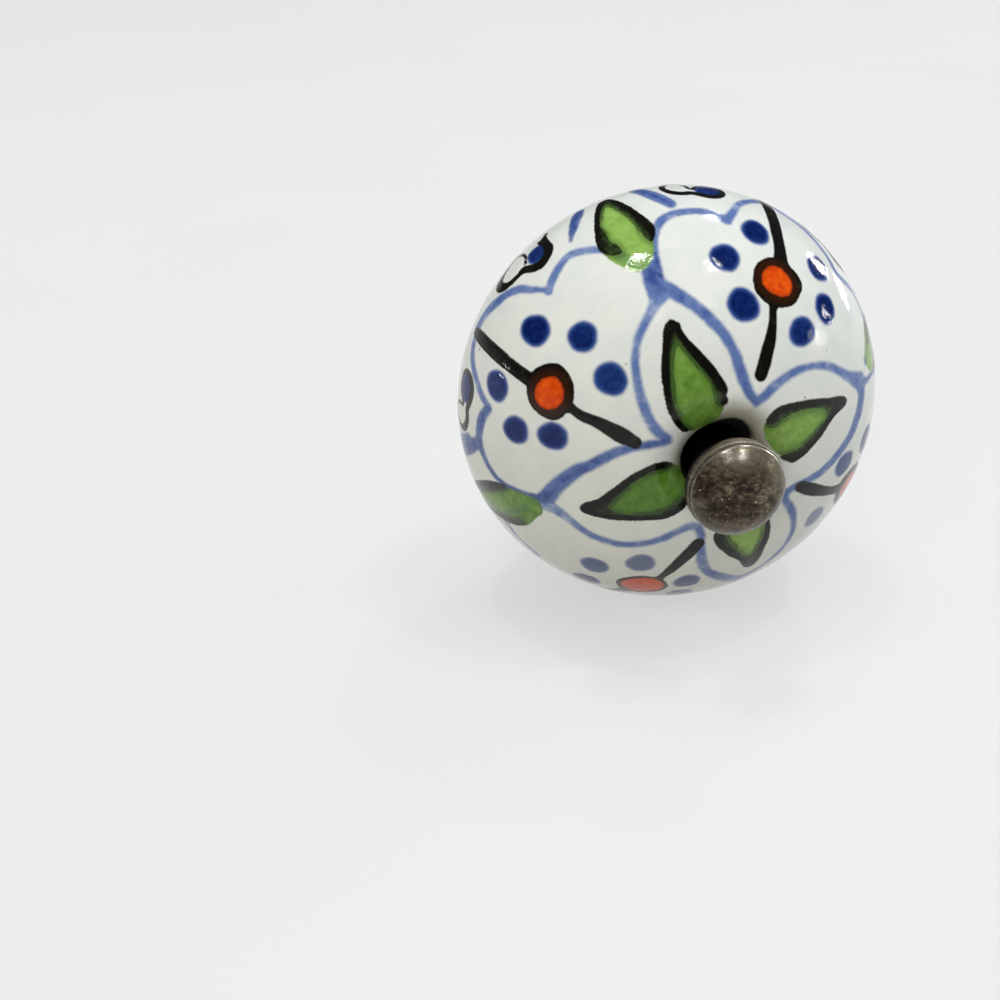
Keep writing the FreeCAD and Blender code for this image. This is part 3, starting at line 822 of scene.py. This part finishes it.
# Ceramic body. A ring is (radius, height, count of points, way from the axis). On the foot and in
# the bores one of these marks stands for the way.
EDGE, FOOT, BEVEL, RECESS, FLOOR, NARROW, LEDGE, WIDE = 45, 46.5, 47, 48, 49, 50, 51, 52
BORE_S = LIP_S - LIP_RUN
rings = []


def zone(start, end, gap, count):
    """Rings on the skin from one way to another."""
    steps = max(1, round(abs(end - start) / gap))
    for k in range(steps):
        s = start + (end - start) * k / steps
        radius, height = skin(s)
        rings.append((float(radius), float(height), count, s))


def flat(r0, h0, r1, h1, steps, count, mark):
    """Rings on a straight part of the section."""
    for k in range(steps):
        t = k / steps
        rings.append((r0 + (r1 - r0) * t, h0 + (h1 - h0) * t, count, mark))


def foot_edge(count, turns=6, first_turn=math.radians(-18)):
    """Rings on the rounding of the foot's outer edge. Returns the radius of its middle."""
    mid_r = FOOT_R - FOOT_ROUND * .72
    for k in range(turns + 1):
        t = k / turns
        turn = -math.pi / 2 * t + (1 - t) * first_turn
        radius, height = mid_r + FOOT_ROUND * math.cos(turn), FOOT_ROUND + FOOT_ROUND * math.sin(turn)
        rings.append((radius, height, count, EDGE + t))
    return mid_r


zone(BORE_S, 3.4, .24, 128)
zone(3.4, 10.4, .19, 256)
zone(10.4, END_S - 1.1, .275, 512)
edge_mid_r = foot_edge(256)
flat(edge_mid_r - .3, 0, RECESS_R + RECESS_EDGE + .02, 0, 9, 256, FOOT)
flat(RECESS_R + RECESS_EDGE, 0, RECESS_R, RECESS_EDGE, 2, 256, BEVEL)
flat(RECESS_R, RECESS_EDGE, RECESS_R, RECESS_DEPTH - .15, 8, 128, RECESS)
flat(RECESS_R - .15, RECESS_DEPTH, NARROW_R, RECESS_DEPTH, 8, 128, FLOOR)
flat(NARROW_R, RECESS_DEPTH, NARROW_R, LEDGE_H, 6, 64, NARROW)
flat(NARROW_R, LEDGE_H, MOUTH_R, LEDGE_H, 2, 64, LEDGE)
flat(MOUTH_R, LEDGE_H, MOUTH_R, float(skin(BORE_S)[1]), 8, 64, WIDE)
rings.append(rings[0][:2] + (64, BORE_S))
way = np.concatenate([np.full(r[2], float(r[3])) for r in rings])
points, angles, faces = turned_mesh([r[:3] for r in rings])
# the last ring is the first one again, with half its points
first_count, last_count = rings[0][2], rings[-1][2]
last_start = len(points) - last_count
remap = np.arange(len(points))
remap[last_start:] = np.arange(last_count) * (first_count // last_count)
faces = [tuple(int(remap[i]) for i in face) for face in faces]
points, angles, way = points[:last_start], angles[:last_start], way[:last_start]
on_skin = way < EDGE + 1
map_q = np.stack([way * np.cos(angles), way * np.sin(angles)], -1)
OFF_MAP = 900.0
depths = paint_depths(np.where(on_skin[:, None], map_q, OFF_MAP))

# hand-made unevenness, only inwards, and none in the hole or on the foot
UNEVEN = .055
SUNK = .032              # the white lies this deep below the solid's skin
LINER_STANDS, DOT_STANDS = .02, .012
fade = np.clip((way - 6.5) / 4, 0, 1) * np.clip((44.0 - way) / 4, 0, 1)
uneven = (np.sin(2 * angles + .7 + way * .05) + .6 * np.sin(3 * angles + 2.1 - way * .09)
          + .35 * np.sin(5 * angles + .4 + way * .21) + .25 * np.sin(way * .55 + 2 * angles)) / 2.2
push = UNEVEN * (1 + uneven) / 2 * fade
raised = np.clip(depths["liner"] * 4, 0, 1) * LINER_STANDS + np.clip(depths["dot"] * 3, 0, 1) * DOT_STANDS
shrink = np.where(on_skin, push + (SUNK * fade - raised * fade), 0)
radius = np.hypot(points[:, 0], points[:, 2])
points[:, [0, 2]] *= (1 - shrink * .9 / np.maximum(radius, 1))[:, None]
points[:, 1] += np.where(way < 28.8, shrink * .5, -shrink * .2)
# the mouth of the hole is a little off the middle, as hand work is
MOUTH_ASIDE = .3
by_height = np.clip((-points[:, 1] - 22.5) / 3.5, 0, 1)
by_way = np.where(way < 20, np.clip((7.6 - way) / 2.6, 0, 1), np.where(way > LEDGE + .5, 1.0, 0.0))
points[:, 0] += MOUTH_ASIDE * (by_height * by_way) ** 1.3

body = new_piece("painted_ceramic", points * MM, faces, painted_glaze())
for name, values in depths.items():
    attribute(body.data, name, values)


def degrees_from(middle):
    """How far each point lies round the axis from a direction, in degrees either way."""
    return (np.degrees(angles) - middle + 180) % 360 - 180


# how far the painted black shade of the hole comes up the lip: most at the top, fading softly at the right
painted_shade_to = 2.85 + 1.35 * np.exp(-(degrees_from(72) / 40) ** 2)
crisp = 1 - .65 * np.exp(-(degrees_from(25) / 32) ** 2)
on_lip = way < 20
in_bore = way > FLOOR + .5
near_foot = (way > 40) & ~in_bore
# the lip above that takes painted grey-beige shade
attribute(body.data, "lip", np.where(on_lip, painted_shade_to - way, -9.0))
# the hole takes painted black shade, and the whole bore too
attribute(body.data, "hole", np.where(on_lip, (painted_shade_to - way) * crisp, np.where(in_bore, 3.0, -9.0)))
attribute(body.data, "foot", np.where(near_foot, (way - 44.95) * 1.2, -9.0).clip(-9, 1.5))
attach(body, "root")
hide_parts("ceramic_body")

# Ball-headed bolt
BALL_R = 4.35
BACK_R = 4.3
BALL_DOME = 2.95
SEAM_FORE = 0.6
SEAM_HALF = 0.15
WAIST_R = 1.9
NECK = BALL_DOME * math.sqrt(1 - (WAIST_R / BACK_R) ** 2)
WAIST_L = 8.15
SHOULDER_R = 2.65
SHOULDER_L = 5.0
SHOULDER_H = LEDGE_H + SHOULDER_L
BALL_H = SHOULDER_H + WAIST_L + NECK
PITCH_R = 1.77
THREAD_R = 2.0
ROOT_R = 1.58
PITCH = 0.7
THREAD_TOP = 5.6         # where the thread runs out inside the body
CREST_TOP = 0.38         # in front of this, the nut holds the crests down to the pitch radius
SHANK_OUT = 25.0
SIDES = 96
STEP = .05
TURN = np.arange(SIDES) * 2 * math.pi / SIDES


def bolt_profile():
    """(radius, height) of the bolt from just behind its tip to the plain shank."""
    out = []
    front = -SEAM_FORE - SEAM_HALF
    for k in range(1, 71):
        drop = -BALL_DOME + (BALL_DOME + front) * (1 - math.cos(k / 70 * math.pi / 2))
        out.append((BALL_R * math.sqrt(1 - (drop / BALL_DOME) ** 2) - .012 * max(0, k - 67), BALL_H - drop))
    rim = out[-1][0]
    for step, sink in ((.3, .07), (.6, .13), (1.0, .15), (1.4, .14), (1.7, .13)):
        out.append((rim - sink, BALL_H - front - SEAM_HALF * step))
    rear = -SEAM_FORE + SEAM_HALF
    for k in range(37):
        drop = rear + (NECK - .12 - rear) * (k / 36) ** 1.3
        out.append((BACK_R * math.sqrt(1 - (drop / BALL_DOME) ** 2) - .02 * max(0, 1 - k), BALL_H - drop))
    for k in range(5):
        t = k / 4
        out.append((WAIST_R + .12 * (1 - t) ** 2, BALL_H - NECK - .02 - .35 * t))
    waist_top = BALL_H - NECK - .4
    for k in range(1, 11):
        out.append((WAIST_R, waist_top + (SHOULDER_H + .45 - waist_top) * k / 10))
    out += [(WAIST_R + .05, SHOULDER_H + .2), (WAIST_R + .2, SHOULDER_H + .03),
            (SHOULDER_R - .3, SHOULDER_H), (SHOULDER_R - .02, SHOULDER_H - .28),
            (SHOULDER_R, SHOULDER_H - .4), (SHOULDER_R, LEDGE_H + .05),
            (SHOULDER_R - .05, LEDGE_H + .001), (PITCH_R + .03, LEDGE_H + .001), (PITCH_R, LEDGE_H - .05)]
    height = LEDGE_H - .6
    while height > THREAD_TOP:
        out.append((PITCH_R, height))
        height -= .9
    return out


def thread_radius(height):
    """Radius of the threaded shank at each angle."""
    phase = (height / PITCH + TURN / (2 * math.pi)) % 1.0
    tooth = np.clip((np.abs(phase * 2 - 1) - .08) / .78, 0, 1)
    crest = THREAD_R if height < CREST_TOP else PITCH_R
    start = np.clip((THREAD_TOP - .3 - height) / .9, 0, 1)
    end = np.clip((height + SHANK_OUT) / .5, 0, 1)
    root = PITCH_R + (ROOT_R - PITCH_R) * start
    radius = np.minimum(root + (crest - root) * tooth * start + (PITCH_R - root) * (1 - start),
                        THREAD_R - .5 * (1 - end))
    return np.where(start <= 0, PITCH_R, radius)


def bolt_mesh():
    """Points in mm and faces of the bolt, closed at both ends."""
    rings = [ring_points(radius, height, TURN) for radius, height in bolt_profile()]
    for height in np.arange(THREAD_TOP, -SHANK_OUT - 1e-9, -STEP):
        rings.append(ring_points(thread_radius(height), height, TURN))
    points = np.vstack([[[0, -(BALL_H + BALL_DOME), 0]]] + rings + [[[0, SHANK_OUT, 0]]])
    faces = [(0, 1 + (i + 1) % SIDES, 1 + i) for i in range(SIDES)]
    for k in range(len(rings) - 1):
        a, b = 1 + k * SIDES, 1 + (k + 1) * SIDES
        for i in range(SIDES):
            j = (i + 1) % SIDES
            faces.append((a + i, a + j, b + j, b + i))
    tail = 1 + (len(rings) - 1) * SIDES
    faces += [(tail + i, tail + (i + 1) % SIDES, len(points) - 1) for i in range(SIDES)]
    return points, faces


bolt_points, bolt_faces = bolt_mesh()
# small dents of wear in the ball, inwards only
mid = np.array([0, -BALL_H, 0])
on_ball = bolt_points[:, 1] < -(BALL_H - 2.2)
out_dir = (bolt_points - mid) / np.maximum(np.linalg.norm(bolt_points - mid, axis=1), 1e-6)[:, None]
dent = np.zeros(len(bolt_points))
for _ in range(46):
    spot = rng.normal(0, 1, 3)
    spot /= np.linalg.norm(spot)
    width = rng.uniform(.05, .2)
    dent += rng.uniform(.006, .022) * np.exp(-((1 - out_dir @ spot) * 2) / width ** 2)
bolt_points[on_ball] -= out_dir[on_ball] * dent[on_ball, None]
bolt = new_piece("aged_ball_bolt", bolt_points * MM, bolt_faces, aged_metal())

# where the metal has patina with painted dark reflection, painted top light, wear with painted glints, and
# painted shade: places on the ball are ways across and up its face, in mm
height_of = -bolt_points[:, 1]
round_of = np.hypot(bolt_points[:, 0], bolt_points[:, 2])
from_seam = BALL_H + SEAM_FORE - height_of
across = (bolt_points - mid) @ (.980, -.198, .0)
upward = (bolt_points - mid) @ (.090, .444, .892)
leftward = np.clip((upward * .3 - across * .9) / 3, 0, 1)
on_front = height_of > BALL_H - .5
# patches of patina with painted dark reflection: across, up, width, height, amount
PATCHES = (
    (-2.9, -.3, 1.6, 1.3, 1.0), (-1.8, -1.9, 1.8, 1.4, 1.0),
    (.3, -1.9, 2.0, 1.2, 1.0), (.6, -.2, 1.9, 1.0, .6),
)
# painted glints on the ball's face: across, up, size
GLINTS = ((.25, 2.4, .42), (-1.0, 2.45, .36))


def spread(x, z, wide, tall):
    """1 at a place on the ball's face, fading out over a width and a height."""
    return np.exp(-((across - x) / wide) ** 2 - ((upward - z) / tall) ** 2)


patch = np.max([much * spread(x, z, wide, tall) for x, z, wide, tall, much in PATCHES], axis=0)
attribute(bolt.data, "patina_and_dark_reflection", patch * on_front)
# painted light: lighter towards the top and a little to the right of the ball's face
attribute(bolt.data, "painted_top_light", ((upward * .9 + across * .35 - .2) / 2.6).clip(0, 1) * on_front)
# painted reflection of the pale surroundings: grey at the edge of the ball's face, except at the upper left
rim = np.clip((np.hypot(across, upward) - 2.9) / 1.3, 0, 1) * (across * .75 - upward > -1.6)
attribute(bolt.data, "rim", rim * (height_of > BALL_H - .8))
# the seam's edges, worn and painted bright as highlights, less on the left; and the painted glints
on_seam = round_of > 3.6
ridge = np.exp(-((from_seam + .27) / .11) ** 2) + .8 * np.exp(-((from_seam - .25) / .1) ** 2)
ridge *= 1 - .75 * leftward
painted_glints = sum(spread(x, z, r, r) for x, z, r in GLINTS)
attribute(bolt.data, "wear_and_glint", (ridge * on_seam + painted_glints * (height_of > BALL_H + .9)).clip(0, 1))
# painted shade: dark in the seam's groove and inside the hole, reaching further out on the left
groove = np.exp(-(from_seam / .13) ** 4) * on_seam
inside = np.clip((BALL_H - 1.1 + 1.5 * leftward - height_of) / (1.4 - .6 * leftward), 0, 1)
attribute(bolt.data, "deep", np.maximum(groove * .85, inside * (height_of > LEDGE_H - 1)))
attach(bolt, "root")
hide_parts("ball_head_bolt")

# Washer and nut keep their solids
steel = plated_steel()
for node in ("washer", "hex_nut"):
    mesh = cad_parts[node].data
    mesh.materials.clear()
    mesh.materials.append(steel)

# Floor, light, camera
FLOOR_Z = -.0206
FLOOR_HALF = 6.0
TARGET = Vector((0, -.0155, 0))


def floor_material():
    """Pale sheet whose shadow is faint, and which throws a weaker, warmer light back at the knob."""
    n = Nodes("pale_floor")
    path = n.add("ShaderNodeLightPath")
    seen = n.plus(path.outputs["Is Camera Ray"], path.outputs["Is Glossy Ray"])
    seen = n.math("ADD", seen, path.outputs["Is Transmission Ray"], clamp=True)
    tint = n.mix(n.ramp(n.noise(n.place(), .02), .3, .7), (.295, .295, .295, 1), (.305, .305, .305, 1))
    n.drive("Base Color", n.mix(seen, (.43, .41, .365, 1), tint))
    n.fix("Emission Color", (1, 1, 1, 1))
    n.drive("Emission Strength", n.times(seen, .55))
    n.fix("Roughness", 1.0)
    n.fix("Specular IOR Level", 0.0)
    return n.material


corners = [(x * FLOOR_HALF, y * FLOOR_HALF, FLOOR_Z) for x, y in ((-1, -1), (1, -1), (1, 1), (-1, 1))]
floor = new_piece("floor", corners, [(0, 1, 2, 3)], floor_material())


def lamp(name, direction, distance, wide, tall, power, colour, shine=True):
    data = bpy.data.lights.new(name, "AREA")
    data.shape = "RECTANGLE"
    data.size, data.size_y = wide, tall
    data.energy = power
    data.color = colour
    item = bpy.data.objects.new(name, data)
    bpy.context.scene.collection.objects.link(item)
    way_to = Vector(direction).normalized()
    item.location = TARGET + way_to * distance
    item.rotation_euler = way_to.to_track_quat("Z", "Y").to_euler()
    item.visible_glossy = shine


# soft light, which gives the glaze its shading: name, direction, distance, side, power, colour
SOFT = (
    ("overhead_soft", (0, -.02, 1), 1.0, 1.0, 4.5, (.95, 1, 1.04)),
    ("right_soft", (.92, -.15, .42), 1.0, .9, 2.4, (.92, .98, 1.06)),
    ("front_soft", (-.43, -.75, .5), 1.2, .8, 5.2, (1, .98, .92)),
    ("left_soft", (-.95, -.1, .3), 1.0, .5, 1.25, (1, .97, .9)),
)
# small lamps, each with a few weaker ones round it, which give it its highlights:
# name, direction, width, height, power, count of weaker ones
HIGHLIGHTS = (
    ("overhead_left", (-.178, .058, .982), .036, .032, .4, 9),
    ("overhead_right", (.33, -.14, .93), .045, .035, .38, 9),
    ("overhead_back", (.405, .475, .782), .05, .035, .29, 6),
    ("window_high", (.825, .504, .254), .09, .1, .46, 3),
    ("window_low", (.84, .55, .06), .13, .05, .34, 2),
    ("window_mid", (.956, .096, .277), .05, .035, .1, 1),
    ("window_near", (.95, -.18, .25), .16, .09, .2, 2),
    ("ceiling_front", (.212, -.484, .849), .2, .16, .26, 0),
    ("ceiling_left", (-.21, -.54, .81), .13, .13, .15, 0),
    ("left_window", (-.951, .301, .05), .025, .02, .06, 1),
)
HIGHLIGHT_AWAY = .8
HIGHLIGHT_COLOUR = (1, .99, .97)
WEAK_SIDE, WEAK_POWER, WEAK_SPREAD = .012, .035, .032
for name, direction, distance, side, power, colour in SOFT:
    lamp(name, direction, distance, side, side, power, colour, shine=False)
for name, direction, wide, tall, power, around in HIGHLIGHTS:
    lamp(name, direction, HIGHLIGHT_AWAY, wide, tall, power, HIGHLIGHT_COLOUR)
    for k in range(around):
        aside = Vector(direction) + Vector(rng.normal(0, WEAK_SPREAD, 3))
        aside.z = max(aside.z, .04)
        lamp(f"{name}_{k}", aside, HIGHLIGHT_AWAY, WEAK_SIDE, WEAK_SIDE, WEAK_POWER, HIGHLIGHT_COLOUR)


def studio_world():
    """Dim room, paler towards the horizon, where it meets the floor."""
    world = bpy.data.worlds.new("studio")
    world.use_nodes = True
    tree = world.node_tree
    tree.nodes.clear()
    coords, split, lift, shade, back, out = (tree.nodes.new("ShaderNode" + kind) for kind in (
        "TexCoord", "SeparateXYZ", "MapRange", "Mix", "Background", "OutputWorld"))
    lift.interpolation_type = "SMOOTHSTEP"
    lift.inputs[1].default_value = 0.0
    lift.inputs[2].default_value = .16
    shade.data_type = "RGBA"
    shade.inputs[6].default_value = (.55, .55, .55, 1)
    shade.inputs[7].default_value = (.06, .06, .062, 1)
    tree.links.new(coords.outputs["Generated"], split.inputs[0])
    tree.links.new(split.outputs[2], lift.inputs[0])
    tree.links.new(lift.outputs[0], shade.inputs[0])
    tree.links.new(shade.outputs[2], back.inputs[0])
    tree.links.new(back.outputs[0], out.inputs[0])
    back.inputs[1].default_value = 1.0
    return world


CAMERA_AT = (-.04317, -.14652, .05987)
CAMERA_RIGHT = (.98014, -.1983, 0)
CAMERA_AHEAD = (.17675, .8736, -.45341)
bpy.context.scene.world = studio_world()
camera_data = bpy.data.cameras.new("camera")
camera_data.lens = 57.6
camera_data.sensor_width = 36.0
camera_data.clip_start = .005
camera = bpy.data.objects.new("camera", camera_data)
bpy.context.scene.collection.objects.link(camera)
ahead = Vector(CAMERA_AHEAD).normalized()
up = Vector(CAMERA_RIGHT).normalized().cross(ahead).normalized()
turned = Matrix((ahead.cross(up), up, -ahead)).transposed().to_4x4()
camera.matrix_world = Matrix.Translation(CAMERA_AT) @ turned
bpy.context.scene.camera = camera
bpy.context.scene.view_settings.view_transform = "Standard"
